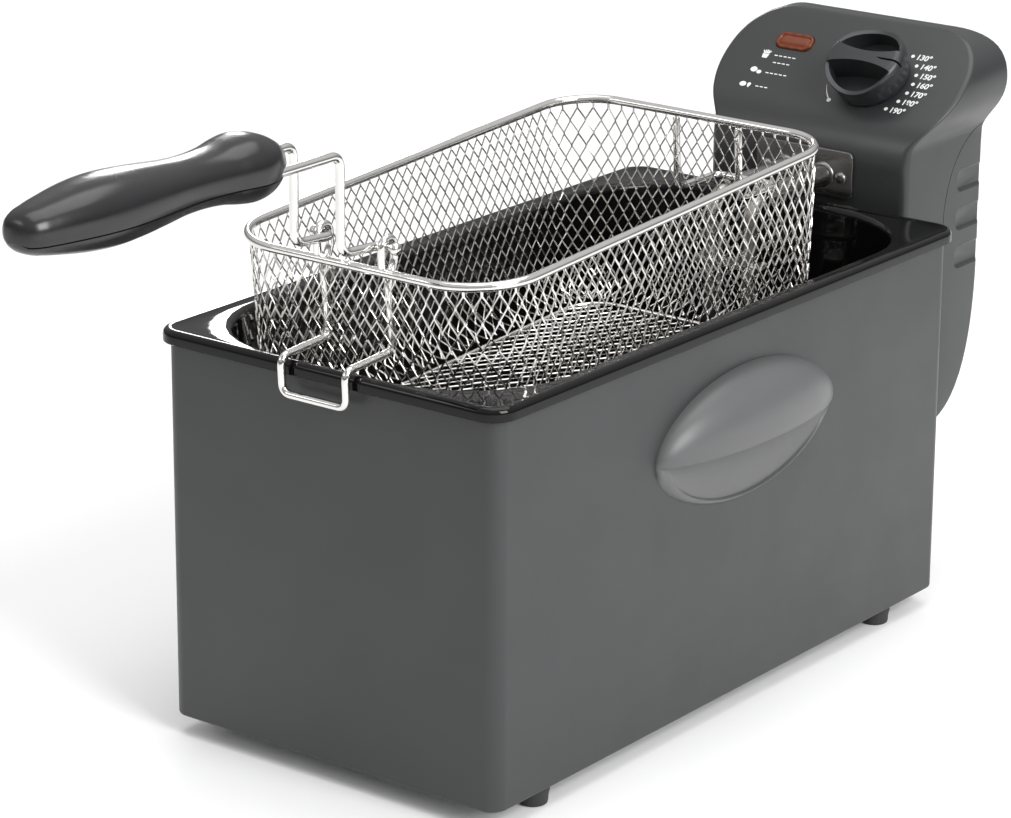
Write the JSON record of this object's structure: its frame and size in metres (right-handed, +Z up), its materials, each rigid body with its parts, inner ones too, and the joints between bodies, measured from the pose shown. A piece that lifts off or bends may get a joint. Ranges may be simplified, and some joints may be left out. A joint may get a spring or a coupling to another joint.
{
  "type": "deep fryer",
  "caption": "Counter-top deep fryer: oblong steel housing, enamelled oil tank, lift-off control head with an immersion element, and a wire basket hung up to drain by its folding handle.",
  "frame": {"origin": "under the feet, at the middle of the bounding box's underside", "axes": "+X to the right, +Y from the basket's handle to the control head, +Z up"},
  "size_m": [0.209, 0.596, 0.2885],
  "materials": {
    "paint": "satin anthracite paint",
    "enamel": "glossy black enamel",
    "shell": "fine-grained satin moulding",
    "grip": "satin black moulding",
    "chrome": "bright plated wire",
    "steel": "brushed stainless",
    "zinc": "zinc-plated sheet",
    "rubber": "matt black rubber",
    "amber": "clear amber lens",
    "phenolic": "pressed brown moulding",
    "nylon": "natural nylon",
    "red": "glossy red"
  },
  "bodies": {
    "housing": {"housing_shell": "paint", "base_plate": "zinc", "carry_handle_right": "shell", "carry_handle_left": "shell", "rear_guide": "zinc", "foot_front_left": "rubber", "foot_front_right": "rubber", "foot_rear_left": "rubber", "foot_rear_right": "rubber", "foot_screw_front_left": "zinc", "foot_screw_front_right": "zinc", "foot_screw_rear_left": "zinc", "foot_screw_rear_right": "zinc"},
    "tank": {"oil_tank": "enamel"},
    "head": {"head_front_cover": "shell", "head_rear_cover": "shell", "cord_gland": "rubber", "guide_tongue": "zinc", "element_plate": "steel", "plate_screw_left": "steel", "plate_screw_right": "steel", "element_sleeve_left": "steel", "element_sleeve_right": "steel", "heating_element": "steel", "riser_clamp": "steel", "element_bar": "steel", "sensor_tube": "steel", "thermostat_body": "phenolic", "terminal_block": "nylon", "thermal_cutout": "phenolic", "interlock_switch": "phenolic", "neon_lamp": "amber", "lamp_lens": "amber", "cover_screw_left": "zinc", "cover_screw_right": "zinc"},
    "knob": {"thermostat_knob": "shell", "thermostat_shaft": "steel"},
    "reset": {"reset_button": "red"},
    "basket": {"basket_rim": "chrome", "basket_mesh": "chrome", "drain_frame": "chrome", "rear_rest": "chrome"},
    "handle": {"handle_wire": "chrome", "grip_upper": "grip", "grip_lower": "grip"}
  },
  "joints": [
    {"name": "tank_lift", "type": "slide", "parent": "housing", "child": "tank", "axis": [0, 0, 1], "range_m": [0, 0.12]},
    {"name": "head_lift", "type": "slide", "parent": "tank", "child": "head", "axis": [0, 0, 1], "range_m": [0, 0.13]},
    {"name": "basket_lift", "type": "slide", "parent": "head", "child": "basket", "axis": [0, 0, 1], "range_m": [0, 0.1]},
    {"name": "handle_fold", "type": "hinge", "parent": "basket", "child": "handle", "pos_m": [0, -0.10003, 0.23022], "axis": [-1, 0, 0], "range_deg": [0, 175]},
    {"name": "knob_turn", "type": "hinge", "parent": "head", "child": "knob", "pos_m": [0.019, 0.25605, 0.23286], "axis": [0, -0.6428, 0.766], "range_deg": [-47, 218]},
    {"name": "reset_press", "type": "slide", "parent": "head", "child": "reset", "axis": [0, -1, 0], "range_m": [0, 0.002], "stiffness_N_per_m": 300, "springref_m": -0.001}
  ]
}
